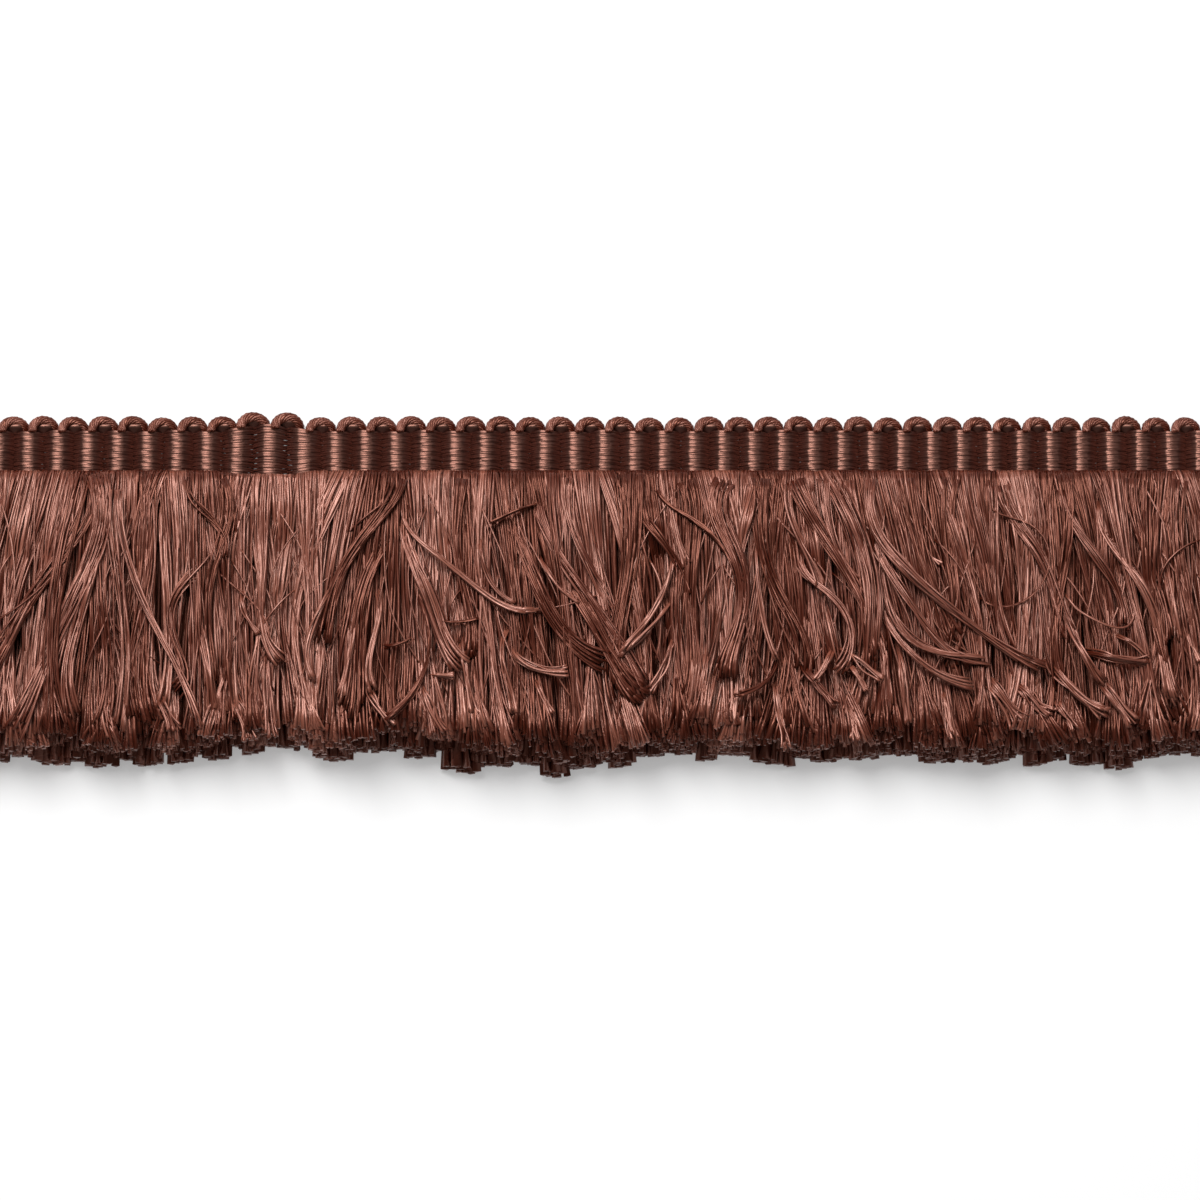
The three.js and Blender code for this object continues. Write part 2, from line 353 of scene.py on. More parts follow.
def makeLoops():
    share = np.linspace(0, 1, loop["steps"])
    turn = np.pi * np.clip((share - loop["leg"]) / (1 - 2 * loop["leg"]), 0, 1)
    outward = np.stack([-np.cos(turn), np.sin(turn), np.zeros_like(turn)], 1)
    up = np.clip(np.minimum(share, 1 - share) / loop["leg"], 0, 1)
    full = 1 - loop["taper"] * (1 - np.sin(np.pi * share))
    around = (loop["bundle"] - loop["yarnThickness"]) / 2 * full
    paths, widths, tones = [], [], []
    for rib in range(1, ribCount):
        middle = ribPlace(rib)
        size = 1 + loop["wideGrowth"] * edgeRise(middle)
        crown = loop["reach"] - (loop["bundle"] / 2 + loop["rise"]) * size + edgeRise(middle)
        crown = crown + loop["uneven"] * chance.uniform(-1, 1)
        foot = loop["foot"] + edgeRise(middle) * loop["footRise"]
        centre = np.stack([
            np.full_like(share, middle), foot + (crown - foot) * up,
            loop["frontZ"] + (loop["backZ"] - loop["frontZ"]) * share,
        ], 1) + outward * np.array([loop["span"] / 2, loop["rise"], 0]) * size
        start = chance.uniform(0, 2 * np.pi)
        for yarn in range(loop["yarns"]):
            angle = start + 2 * np.pi * (yarn / loop["yarns"] - loop["twist"] * share)
            offset = outward * (around * np.cos(angle) * size)[:, None]
            offset[:, 2] += around * np.sin(angle)
            paths.append(centre + offset)
            thickness = loop["yarnThickness"] / 2 * chance.uniform(0.85, 1.1) * size
            widths.append(np.full(loop["steps"], thickness))
            # Painted shade: each yarn's tone falls towards the far foot, which lies in the shade
            tones.append(chance.uniform(*loop["tones"]) - loop["paintedFootShade"] * share)
        # The core's tone is 0, the darkest: painted shade inside the rope
        paths.append(centre)  # a dark core, so that no light comes through between the yarns
        widths.append(around * size)
        tones.append(0 * share)
    tones = np.clip(tones, 0, 1)
    piece = yarnMesh("headingLoops", np.array(paths), np.array(widths), 6, tones, first=(0, 0, 1))
    settle(piece, floss, "heading")


# Brush: how it is combed, read along the trim, as the solid under it
# lean: tips to the right of their roots; belly: bow to the right; lift: face over its plain height
combing = [
    {"at": -70, "lean": -2.0, "belly": -0.2, "lift": 0.0, "reach": 32.0},
    {"at": -58, "lean": -4.2, "belly": -1.3, "lift": 0.2, "reach": 32.0},
    {"at": -50, "lean": -1.0, "belly": 0.3, "lift": -0.4, "reach": 32.3},
    {"at": -43, "lean": 0.6, "belly": 0.4, "lift": 0.1, "reach": 31.3},
    {"at": -34, "lean": -0.4, "belly": -0.4, "lift": -0.5, "reach": 29.9},
    {"at": -27, "lean": -2.5, "belly": -1.4, "lift": 0.2, "reach": 31.9},
    {"at": -20, "lean": 0.2, "belly": 0.2, "lift": 0.5, "reach": 31.4},
    {"at": -13, "lean": 3.0, "belly": 1.0, "lift": 0.0, "reach": 32.5},
    {"at": -6, "lean": 3.6, "belly": 0.4, "lift": 0.6, "reach": 33.0},
    {"at": 2, "lean": 2.0, "belly": 0.2, "lift": 0.1, "reach": 31.7},
    {"at": 9, "lean": -0.2, "belly": 0.8, "lift": -0.4, "reach": 31.6},
    {"at": 15, "lean": -0.8, "belly": 1.6, "lift": 0.5, "reach": 31.4},
    {"at": 22, "lean": 2.6, "belly": 0.6, "lift": -0.2, "reach": 32.2},
    {"at": 30, "lean": 4.4, "belly": 1.0, "lift": 0.2, "reach": 32.0},
    {"at": 38, "lean": 3.8, "belly": 1.2, "lift": 0.4, "reach": 32.6},
    {"at": 46, "lean": 1.6, "belly": 0.6, "lift": -0.3, "reach": 31.9},
    {"at": 54, "lean": 2.8, "belly": 0.8, "lift": 0.3, "reach": 32.4},
    {"at": 61, "lean": 1.6, "belly": 0.4, "lift": -0.2, "reach": 31.3},
    {"at": 70, "lean": 1.2, "belly": 0.2, "lift": 0.0, "reach": 31.6},
]
brush = {
    "heel": 3.5, "face": 5.0, "heelLength": 3.0, "loft": 1.2, "loftBend": 2.5,
    "rootDown": 0.5, "sunken": 0.3, "lipLength": 0.25,  # yarns come out low and turn up over a lip
    "endReach": 6.0,  # mm, how near the cut ends of the length the locks lie plain
    "endRoom": 0.2,  # mm that the roots keep off the cut ends
    "backLonger": 0.1, "faceShorter": 1.3, "crimp": 0.16, "crimpSpread": (0.3, 1.3),
    "notch": 0.09,  # share of a rib left open between the ribs' yarns at their roots
    "notchLength": 1.4,  # mm
}

# Painted shade of the yarns by place along the trim, against the mean: clumps that turn from the light are
# painted darker, those that face it lighter
paintedShades = [
    (-65, 0.0), (-59, 0.1), (-56, 0.0), (-54.7, -0.25), (-53, -0.05), (-51, 0.05), (-49.6, -0.25),
    (-48, -0.15), (-46, 0.1), (-43, 0.05), (-41.2, -0.2), (-39, 0.1), (-33, 0.15), (-28, 0.15),
    (-25, -0.05), (-22.2, -0.2), (-20, 0.1), (-17, 0.1), (-15.2, -0.15), (-13, 0.05), (-10.5, -0.05),
    (-7.6, -0.25), (-5, -0.05), (-2, 0.1), (0.2, 0.0), (2.4, -0.3), (4.6, -0.2), (6.5, 0.05),
    (9.8, -0.15), (12.5, 0.25), (15.3, 0.1), (17.6, -0.2), (20, -0.1), (22.5, 0.0), (27, -0.15),
    (30.5, -0.1), (34, -0.15), (37.5, -0.05), (41, -0.1), (43.5, -0.05), (46.5, 0.05), (49, -0.1),
    (50.8, -0.3), (53, -0.05), (55.5, 0.05), (59, -0.15), (62, -0.1), (65.4, -0.15),
]


def combed(column, along):
    at = np.array([row["at"] for row in combing], float)
    value = np.array([row[column] for row in combing])
    k = np.clip(np.searchsorted(at, along) - 1, 0, len(at) - 2)
    share = np.clip((along - at[k]) / (at[k + 1] - at[k]), 0, 1)
    return value[k] + (value[k + 1] - value[k]) * (1 - np.cos(np.pi * share)) / 2


# Painted shade at a place along the trim
def paintedShadeAt(along):
    return np.interp(along, [row[0] for row in paintedShades], [row[1] for row in paintedShades])


def brushFace(along, down):
    rise = 1 - np.exp(-np.maximum(down, 0) / brush["heelLength"])
    plain = brush["heel"] + (brush["face"] - brush["heel"]) * rise
    loft = brush["loft"] * (np.maximum(down, 0) / combed("reach", along)) ** brush["loftBend"]
    lip = brush["sunken"] * np.exp(-np.maximum(down - brush["rootDown"], 0) / brush["lipLength"])
    return plain + combed("lift", along) * rise ** 2 + loft - lip


# Draws the roots together over each rib, which leaves a small notch between one rib's yarns and the next's
def overRibs(along, down):
    ribs = np.interp(along, ribPlace(np.arange(ribCount + 1)), np.arange(ribCount + 1))
    fromRib = ribs % 1.0 - 0.5
    fade = np.exp(-np.maximum(down, 0) / brush["notchLength"])
    return along - brush["notch"] * heading["ribPitch"] * fromRib * fade


# The layers, laid lock by lock. depth is where the yarns lie between the board, 0, and the face, 1.
# yarn is a yarn's thickness. loose, lift and wave say how far a lock strays sideways, bows up and ripples.
# short is how much less far it may reach, tip how far it may rise at its end, and rough how uneven it is
# cut. tight and flare say how far it draws together and opens again. tuft lets a few locks reach further.
# shade is painted shade against the mean: the lower layers, under the face, are painted darker. The shading
# at the cut ends, the last column but one, is painted too, against the mean: darker at the back, lighter on
# the other layers, as painted light on their tips.
layers = [
    {"name": "brushBack", "depth": (0.03, 0.4), "locks": 66, "yarns": 15, "steps": 8, "yarn": 0.6,
     "loose": 0.5, "lift": 0.05, "short": 0.9, "tip": 0.0, "shade": -0.45, "rough": 0.03, "wave": 0.0,
     "tight": (0.0, 0.2), "flare": (-0.4, 0.1), "paintedEndShading": -0.3, "tuft": 1.3},
    {"name": "brushMiddle", "depth": (0.35, 0.75), "locks": 70, "yarns": 18, "steps": 10, "yarn": 0.38,
     "loose": 0.9, "lift": 0.15, "short": 1.3, "tip": 0.1, "shade": -0.35, "rough": 0.05, "wave": 0.1,
     "tight": (0.1, 0.5), "flare": (-0.45, 0.1), "paintedEndShading": 0.1, "tuft": 0.8},
    {"name": "brushFaceLow", "depth": (0.68, 0.92), "locks": 74, "yarns": 20, "steps": 18, "yarn": 0.3,
     "loose": 1.3, "lift": 0.35, "short": 1.8, "tip": 0.7, "shade": 0.0, "rough": 0.2, "wave": 0.25,
     "tight": (0.2, 0.75), "flare": (-0.3, 0.4), "paintedEndShading": 0.2, "tuft": 0.0},
    {"name": "brushFaceHigh", "depth": (0.84, 1.0), "locks": 72, "yarns": 22, "steps": 21, "yarn": 0.28,
     "loose": 1.7, "lift": 0.5, "short": 3.5, "tip": 1.0, "shade": 0.05, "rough": 0.25, "wave": 0.3,
     "tight": (0.3, 0.85), "flare": (-0.1, 0.5), "paintedEndShading": 0.1, "tuft": 0.0},
]

# How the yarns of every layer are laid. A pair of waves is a size in mm and radians over the yarn's way.
lay = {
    "offPlace": 0.3, "overlap": 1.15,  # shares of a lock's width
    "calmest": 0.1, "bow": 0.6, "fewShort": 1.6,
    "closer": 1.4,  # the steps lie closer together at the roots
    "faceBend": 1.5, "waist": 0.75, "flareBend": 1.7,
    "leanBend": 1.6, "strayBend": 1.8, "swayBend": 0.5, "tipBend": 5,
    "sweep": (0.55, 0.45),  # share of the combing on the board, and what is added at the face
    "yarnSways": ((0.3, 6), (0.15, 13)), "lockSway": (0.35, 8), "ripple": (0.12, 7),
    "phase": 2.0, "crimps": (2.2, 4.8), "bends": (1.8, 3.2),  # bends and crimps in whole waves over a yarn
    "flatRoot": 6, "tuftWaves": (2.4, 0.9),
    "thickness": (0.75, 1.3), "untwist": 0.6, "untwistBend": 14,  # cut ends of floss untwist
}
# byPlace scales the painted shade by place along the trim; the spreads are random tone
yarnTone = {
    "mean": 0.42, "byPlace": 4.0, "lockSpread": 0.25, "yarnSpread": 0.3,
    "brighter": 0.35, "brightFrom": 0.8, "endBend": 12, "most": 1.1,
}


# Chance values shaped to go with locks x yarns x steps: one for each lock, or one for each yarn
def perLock(layer, draw, *values):
    return draw(*values, layer["locks"])[:, None, None]


def perYarn(layer, draw, *values):
    return draw(*values, (layer["locks"], layer["yarns"]))[..., None]


# Waves along the yarns. per says whether their sizes and starts go by the lock or by the yarn.
def waves(layer, per, size, rate, share):
    high = per(layer, chance.normal, 0, size)
    return high * np.sin(share * rate + per(layer, chance.normal, 0, lay["phase"]))


def lockValues(layer):
    pitch = trimLength / layer["locks"]
    middle = (np.arange(layer["locks"]) + 0.5) * pitch - halfLength
    middle = middle + chance.uniform(-lay["offPlace"], lay["offPlace"], layer["locks"]) * pitch
    middle = middle[:, None, None]
    calm = np.clip((halfLength - np.abs(middle)) / brush["endReach"], lay["calmest"], 1)
    return {
        "pitch": pitch, "middle": middle, "calm": calm,
        "lean": calm * perLock(layer, chance.normal, 0, layer["loose"]),
        "belly": calm * perLock(layer, chance.normal, 0, layer["loose"] * lay["bow"]),
        "lift": calm * perLock(layer, chance.normal, 0, layer["lift"]),
        "short": layer["short"] * perLock(layer, chance.uniform, 0, 1) ** lay["fewShort"],
        "tight": perLock(layer, chance.uniform, *layer["tight"]),
        "flare": perLock(layer, chance.uniform, *layer["flare"]),
        "tip": calm * perLock(layer, chance.uniform, 0, layer["tip"]),
    }


def yarnReach(layer, own, root, depth):
    reach = combed("reach", root) + brush["backLonger"] - brush["faceShorter"] * depth ** lay["faceBend"]
    reach = reach - own["short"] + perYarn(layer, chance.normal, 0, layer["rough"])
    quick, slow = lay["tuftWaves"]
    tuft = np.sin(quick * own["middle"]) * np.sin(slow * own["middle"] + 1)
    return reach + layer["tuft"] * np.maximum(tuft, 0)


def yarnAlong(layer, own, root, place, depth, share):
    gather = 1 - own["tight"] * np.sin(np.pi * np.minimum(share, lay["waist"]) / (2 * lay["waist"])) ** 2
    opened = np.clip((share - lay["waist"]) / (1 - lay["waist"]), 0, 1) ** lay["flareBend"]
    gather = gather + (own["tight"] + own["flare"]) * opened
    bow = np.sin(np.pi * share)
    sweep = combed("lean", root) * share ** lay["leanBend"] + combed("belly", root) * bow
    sway = sum(waves(layer, perYarn, size, rate, share) for size, rate in lay["yarnSways"])
    sway = sway + waves(layer, perLock, *lay["lockSway"], share) * depth
    onBoard, atFace = lay["sweep"]
    x = root + place * (gather - 1) + (onBoard + atFace * depth) * sweep
    stray = own["lean"] * share ** lay["strayBend"] + own["belly"] * bow
    return x + stray * depth + sway * share ** lay["swayBend"]


def yarnHeight(layer, own, x, down, depth, share):
    z = depth * brushFace(x, down) + own["lift"] * np.sin(np.pi * share) * depth
    z = z + own["tip"] * share ** lay["tipBend"]
    turns = perYarn(layer, chance.uniform, *lay["crimps"]) * 2 * np.pi
    bends = perLock(layer, chance.uniform, *lay["bends"]) * 2 * np.pi
    ripple = waves(layer, perLock, layer["wave"], bends, share)
    z = z + own["calm"] * ripple * np.minimum(share * lay["flatRoot"], 1)
    z = z + share * waves(layer, perYarn, *lay["ripple"], share)
    crimp = brush["crimp"] * perYarn(layer, chance.uniform, *brush["crimpSpread"])
    return z + crimp * np.sin(share * turns + perYarn(layer, chance.normal, 0, lay["phase"]))


# Tones of a layer's yarns: a random spread, painted shade by place and by layer, and painted shading at the
# cut ends
def layerTones(layer, root, share):
    tones = yarnTone["mean"] + layer["shade"] + yarnTone["byPlace"] * paintedShadeAt(root)
    tones = tones + perLock(layer, chance.normal, 0, yarnTone["lockSpread"])
    tones = tones + perYarn(layer, chance.uniform, -yarnTone["yarnSpread"], yarnTone["yarnSpread"])
    bright = perYarn(layer, chance.uniform, 0, 1) > yarnTone["brightFrom"]
    tones = tones + yarnTone["brighter"] * bright
    tones = tones + layer["paintedEndShading"] * share ** yarnTone["endBend"]
    return np.clip(tones, 0, yarnTone["most"])


def makeLayer(layer):
    own = lockValues(layer)
    count, steps = layer["yarns"], layer["steps"]
    place = (np.arange(count)[:, None] + perYarn(layer, chance.uniform, 0, 1)) / count - 0.5
    place = place * own["pitch"] * lay["overlap"]
    depth = perYarn(layer, chance.uniform, *layer["depth"])
    share = np.linspace(0, 1, steps) ** lay["closer"]
    farthest = halfLength - brush["endRoom"]
    root = np.clip(own["middle"] + place, -farthest, farthest)
    start = brush["rootDown"] + edgeDip(root)
    down = start + (yarnReach(layer, own, root, depth) - start) * share
    x = overRibs(yarnAlong(layer, own, root, place, depth, share), down)
    z = yarnHeight(layer, own, x, down, depth, share)
    width = layer["yarn"] / 2 * perYarn(layer, chance.uniform, *lay["thickness"])
    width = width * (1 + lay["untwist"] * share ** lay["untwistBend"])
    z = np.maximum(z, width)
    paths = np.stack(np.broadcast_arrays(x, -down, z), -1).reshape(-1, steps, 3)
    tones = layerTones(layer, root, share).reshape(-1, steps)
    spins = chance.uniform(0, 2 * np.pi, len(paths))
    piece = yarnMesh(layer["name"], paths, width.reshape(-1, steps), 3, tones, spins=spins)
    settle(piece, floss, "brush")


# Locks that the comb has laid over the others, left to right by place: yarns, width, lift over the face,
# painted shade against the mean, darker for a lock turned from the light and lighter for one turned to it,
# and the way of the lock's middle as places along the trim and down the brush
overlaid = [
    (22, 1.6, 0.3, -0.15, [(-55.1, 1), (-56.4, 7.4), (-59.8, 12.6), (-63.2, 18), (-66.2, 23.2)]),
    (16, 1.4, 0.15, 0.05, [(-57.7, 1), (-58.8, 8.3), (-61.4, 14.9), (-64.1, 21), (-66.2, 26)]),
    (24, 1.6, 0.4, 0.1, [(-54.7, 1), (-55.3, 11.3), (-58.1, 18), (-60.2, 23.6), (-62.5, 29.1)]),
    (18, 1.4, 0.3, 0.15, [(-54.5, 6.1), (-55.8, 15.8), (-56.9, 20.3), (-56.6, 27.3)]),
    (14, 1.2, 0.2, -0.1, [(-54, 1), (-53.8, 6.8), (-53.6, 15.8), (-52.9, 22.5), (-53.4, 28.4)]),
    (14, 1.1, 0.3, 0.15, [(-52.7, 2.8), (-52.5, 8.9), (-51.6, 14.9), (-51.1, 21.6), (-51.5, 28.4)]),
    (12, 0.6, 0.9, 0.2, [(-52.3, 2.8), (-50.9, 10.5), (-48.5, 16.6), (-45.3, 23), (-43.1, 28.2)]),
    (16, 1.3, 0.1, -0.1, [(-49, 1), (-49, 8.3), (-49.5, 14.9), (-50.3, 20.5), (-50.1, 27.3)]),
    (14, 1, 0.5, -0.1, [(-42, 9.1), (-44.7, 13), (-46.2, 16), (-45.8, 19.3), (-45.3, 24.9)]),
    (8, 0.5, 0.5, -0.35, [(-44.7, 1.3), (-43.1, 5.2), (-41.2, 7.2), (-40.5, 10.5)]),
    (18, 1.3, 0.4, -0.3, [(-41.4, 1.7), (-40.7, 6.8), (-41.8, 11.3), (-42.4, 15.5), (-42, 23.8)]),
    (14, 1, 0.3, 0.25, [(-47.2, 3.9), (-47.1, 10.5), (-46.7, 14.9), (-46.4, 19.3), (-46.8, 26)]),
    (12, 0.9, 0.4, 0.15, [(-43.2, 13.5), (-43.4, 17.1), (-42.4, 21), (-41.8, 24.6), (-41.2, 29.8)]),
    (8, 0.6, 0.5, 0.2, [(-38.7, 13.5), (-38, 17.1), (-36.9, 18.7)]),
    (14, 1.2, 0.4, 0.2, [(-36.8, 8.3), (-36.6, 14.9), (-36.2, 18.5), (-34.4, 21.8)]),
    (10, 0.9, 0.2, -0.3, [(-40.1, 18.5), (-40, 22.1), (-39.2, 28.2)]),
    (14, 1.3, 0.4, 0.2, [(-39.4, 24.9), (-38.3, 27.6), (-37.5, 30.2)]),
    (12, 1.2, 0.3, 0.15, [(-35.9, 19.3), (-35.7, 26), (-35.3, 29.8)]),
    (12, 1.2, 0.4, 0.1, [(-47.9, 24.9), (-46.6, 27.3), (-45.8, 29.3)]),
    (12, 1.2, 0.4, 0.2, [(-52.3, 24.9), (-53.2, 27.3), (-52.5, 29.8)]),
    (24, 1.4, 0.6, -0.2, [(-21.8, 1.5), (-23.4, 5.2), (-26.4, 9.2), (-28.6, 13.8), (-29.8, 19.3)]),
    (7, 0.5, 0.9, 0.3, [(-28.3, 12.5), (-30.3, 16.3), (-31.5, 19.9), (-30.9, 23.6)]),
    (26, 2, 0.3, -0.25, [(-22, 6.1), (-24.4, 10.5), (-25.9, 14.9), (-26.6, 21.6), (-27.2, 27.1)]),
    (12, 0.9, 0.5, 0.2, [(-27.3, 14.5), (-26.7, 17.6), (-26.9, 21), (-27.7, 26)]),
    (10, 0.7, 0.6, 0.25, [(-24.2, 13.8), (-24, 18), (-24.8, 21.7), (-24.4, 24.9)]),
    (10, 0.6, 0.9, 0.25, [(-21.4, 3.9), (-19.5, 8.7), (-16.4, 11.2), (-12, 14.7), (-7.3, 16.4)]),
    (26, 1.8, 0.6, 0.2, [(-21.4, 6.1), (-19.5, 12.2), (-18, 16.3), (-16.7, 19.7), (-15, 22.1)]),
    (8, 0.5, 0.8, -0.25, [(-20.5, 10.9), (-19, 16.3), (-18.4, 19.9), (-19.8, 24.6), (-22.7, 27.9)]),
    (8, 0.5, 0.5, 0.25, [(-18.6, 23.1), (-17.2, 23.4), (-15.7, 23.4)]),
    (18, 1.3, 0.2, -0.15, [(-15.3, 1.5), (-15.6, 5), (-15.4, 10.5), (-14.6, 14.9), (-14.2, 20.5)]),
    (8, 0.5, 0.7, 0.2, [(-12.9, 7.2), (-12.6, 11.3), (-11.1, 14.1), (-9.5, 15.6)]),
    (26, 1.7, 0.8, -0.2, [(-10.9, 3.9), (-8.6, 8.9), (-6.2, 14.9), (-3.1, 19.7), (0, 21.8)]),
    (24, 1.4, 0.7, 0, [(-6.9, 3.4), (-5.2, 8.9), (-1.9, 14.1), (1.3, 18.8), (4.4, 24.9)]),
    (8, 0.5, 0.6, 0.2, [(-6.6, 10), (-5.1, 12.8), (-2.2, 15.2)]),
    (4, 0.3, 0.8, -0.3, [(-6.9, 4.4), (-9.4, 5.5), (-11.8, 6.7)]),
    (10, 0.6, 0.8, 0.3, [(-9.7, 17.7), (-10.5, 21.4), (-9.9, 24.5), (-9.2, 27.3)]),
    (16, 0.9, 0.9, 0.3, [(-9.6, 19.3), (-8.5, 21.8), (-6, 22.9), (-3.7, 23)]),
    (7, 0.5, 0.9, 0.3, [(-7.2, 23.3), (-6.4, 25.1), (-5.2, 27.7)]),
    (9, 0.6, 0.7, 0.25, [(-15.1, 18.2), (-14.6, 22.1), (-13.4, 27.3)]),
    (16, 1.6, 0.5, 0.2, [(-19.6, 23.8), (-18.5, 26.6), (-17.2, 29.5)]),
    (8, 0.6, 0.6, 0.2, [(-25.5, 23.8), (-24.3, 26.2), (-22.2, 28.8)]),
    (4, 0.3, 0.6, -0.3, [(-23.5, 19.6), (-22, 20.2), (-20.4, 19.2)]),
    (4, 0.3, 0.6, -0.3, [(-18.1, 16.9), (-15.7, 17.6), (-13.1, 17.1)]),
    (26, 1.8, 0.8, -0.2, [(-4.4, 10.5), (-1.6, 16), (0.8, 20.5), (2.7, 23.8), (4.4, 25.5)]),
    (30, 2.2, 0.5, -0.35, [(3.2, 1), (3.3, 7.2), (2.9, 12.7), (2, 18.2), (2.4, 24.9)]),
    (14, 1, 0.4, -0.25, [(4.2, 3.9), (5.7, 7.4), (7.4, 9.6), (9.2, 13.8)]),
    (9, 0.6, 1, 0.2, [(8, 8.3), (7.4, 12.6), (6, 15.8), (4, 18.7), (2.3, 21)]),
    (5, 0.35, 1, 0.25, [(8.4, 13.8), (6.5, 17.1), (4.4, 19.3), (3.1, 21)]),
    (6, 0.4, 0.7, -0.3, [(6.2, 2.8), (7.8, 4.8), (10.7, 6.8), (13.3, 9.6), (15.3, 13)]),
    (12, 0.8, 0.4, 0.2, [(7.6, 2.8), (8.2, 7.2), (9.3, 11.2)]),
    (22, 1.6, 0.4, -0.25, [(9.4, 1.7), (10.1, 8.3), (9.8, 13.8), (10, 19.3), (9.8, 26)]),
    (30, 2, 0.6, -0.1, [(13.3, 1.7), (13.5, 7.9), (15.3, 13.8), (14.5, 18.8), (13.3, 23.2)]),
    (14, 1, 0.3, 0.3, [(16.6, 2.3), (15.5, 7.4), (15, 11.6)]),
    (9, 0.7, 0.7, 0.3, [(17, 7.2), (17.1, 14.7), (17.8, 18.2), (18.8, 21.3)]),
    (12, 0.8, 0.5, 0.2, [(20.5, 2.3), (21.4, 7.9), (23.1, 11.6), (23.9, 14.1)]),
    (14, 0.9, 0.7, 0.05, [(21.6, 9.1), (23.6, 13.5), (26.3, 16.3), (27, 19.3), (25.7, 22.7)]),
    (22, 1.4, 0.5, -0.1, [(21.1, 1.7), (23.5, 6.8), (26.8, 12.4), (28.5, 16), (29.8, 21.3)]),
    (18, 1.2, 0.4, 0.1, [(27.2, 1.7), (28.6, 10.5), (30.2, 18.2), (31, 27.3)]),
    (9, 0.6, 0.9, 0.3, [(25.3, 20), (24.3, 22), (23.2, 24)]),
    (10, 0.7, 1, 0.3, [(25.5, 20.2), (27.9, 22), (30.2, 24)]),
    (7, 0.5, 0.8, 0.3, [(26.4, 21.6), (27.5, 23.3), (28.5, 25.1)]),
    (9, 0.7, 0.5, 0.3, [(27, 25.4), (27.1, 27.9), (27.3, 30.4)]),
    (12, 0.9, 0.8, -0.05, [(21.4, 21.6), (23.1, 24), (25.3, 26.6)]),
    (8, 0.6, 0.7, -0.3, [(19, 19.3), (18, 23.8), (14.7, 25.5)]),
    (9, 0.6, 0.6, 0.15, [(8.2, 18.2), (6.8, 22.4), (5.2, 25.3)]),
    (26, 2.4, 0.4, 0.25, [(10.9, 19.3), (10.5, 23.8), (9.8, 28.4)]),
    (12, 0.9, 0.5, 0.25, [(18.7, 23.8), (19.3, 27.6), (19.9, 31.3)]),
    (20, 1.5, 0.3, -0.25, [(17.4, 1.5), (17.2, 6.1), (18.5, 12.7), (20.7, 17.1), (21.8, 22.7)]),
    (16, 1.2, 0.3, 0.1, [(24, 1.5), (24.6, 6.1), (25.9, 10.5), (27.9, 13.8)]),
    (16, 0.9, 1, 0.1, [(29.2, 1.5), (31.4, 10), (36.2, 14.9), (41.4, 19), (46.8, 22.3)]),
    (14, 0.9, 0.8, 0.15, [(29.6, 6.1), (31.4, 12.2), (34, 16.3), (36.8, 19.9), (40.8, 21.8)]),
    (10, 0.7, 0.7, 0.15, [(30.5, 10.5), (31.6, 17.1), (34, 19.9), (37, 21.1), (41.2, 21.8)]),
    (12, 0.8, 0.9, 0.2, [(30.1, 12.7), (31.6, 18.7), (34, 21.6), (36.5, 23.4), (39.4, 24.5)]),
    (18, 1.4, 0.2, -0.15, [(33.2, 1.5), (34.3, 8.3), (35.9, 13.8), (38.1, 19.3)]),
    (3, 0.2, 0.7, 0.3, [(34.5, 9.1), (35.6, 10.1), (36.8, 11.2)]),
    (20, 1.6, 0.1, -0.2, [(38.1, 1.5), (37.7, 8.3), (38.3, 14.9), (37.7, 21.6)]),
    (10, 0.8, 0.4, 0.1, [(42.3, 1.7), (42.6, 9.8), (43, 15.8), (44.1, 20.5)]),
    (20, 1.3, 0.5, 0.05, [(43.6, 2.3), (45.8, 7.4), (48.3, 11.9), (49.5, 15.8), (50.5, 18.9)]),
    (24, 1.6, 0.3, -0.25, [(50.1, 1), (50.5, 6.1), (49.9, 11.6), (49, 17.1), (49.2, 23.8)]),
    (14, 0.9, 0.7, 0.2, [(48.7, 10.5), (50, 14.9), (51.7, 20.5), (54.1, 24.2)]),
    (12, 0.8, 0.6, 0.05, [(50.1, 2.8), (53.6, 10.5), (55.9, 14.5), (56.3, 17.8)]),
    (22, 1.3, 0.7, 0.2, [(54.2, 3.9), (57.4, 12.2), (59.6, 16.5), (60.5, 20.7), (61.3, 26)]),
    (16, 1.3, 0.8, 0.2, [(48.3, 21), (50.3, 24.6), (54.2, 27.5)]),
    (18, 1.8, 0.7, 0.25, [(41.4, 23.3), (43.1, 25.7), (45.1, 28.4)]),
    (14, 1.5, 0.7, 0.2, [(44.2, 23.8), (46.2, 26), (48.1, 27.9)]),
    (14, 0.8, 0.8, 0.1, [(52.3, 20.7), (55.6, 21.6), (59, 22)]),
    (7, 0.5, 0.9, 0.25, [(55.3, 18.5), (57.1, 19.8), (59, 21.6)]),
    (14, 1, 0.3, -0.1, [(57.7, 1.5), (58.2, 7.2), (59.9, 12.7), (61, 19.3)]),
    (8, 0.5, 0.6, 0.3, [(63, 17.1), (63.6, 19.3), (64.5, 21.8)]),
    (10, 0.7, 0.5, 0.2, [(61, 10.5), (61.4, 13.8), (62.2, 19.3)]),
    (14, 1.2, 0.7, 0.2, [(53.4, 23.3), (55.3, 26), (57.1, 28.6)]),
    (10, 0.8, 0.5, 0.25, [(48.6, 25.5), (49.7, 27.3), (50.8, 29.3)]),
    (10, 0.7, 0.5, 0.25, [(32, 19.3), (32.5, 23.8), (33, 28.6)]),
    (12, 1, 0.5, 0.25, [(36.6, 24.2), (37, 27.1), (37.7, 30.2)]),
    (20, 1.6, 0.4, -0.1, [(63.2, 1.7), (62.7, 9.4), (63.4, 16), (64.3, 23.8), (64.1, 29.3)]),
    (16, 1.2, 0.3, 0.1, [(-3.3, 1.5), (-3.1, 6.1), (-1.1, 11.6), (1.3, 16)]),
]
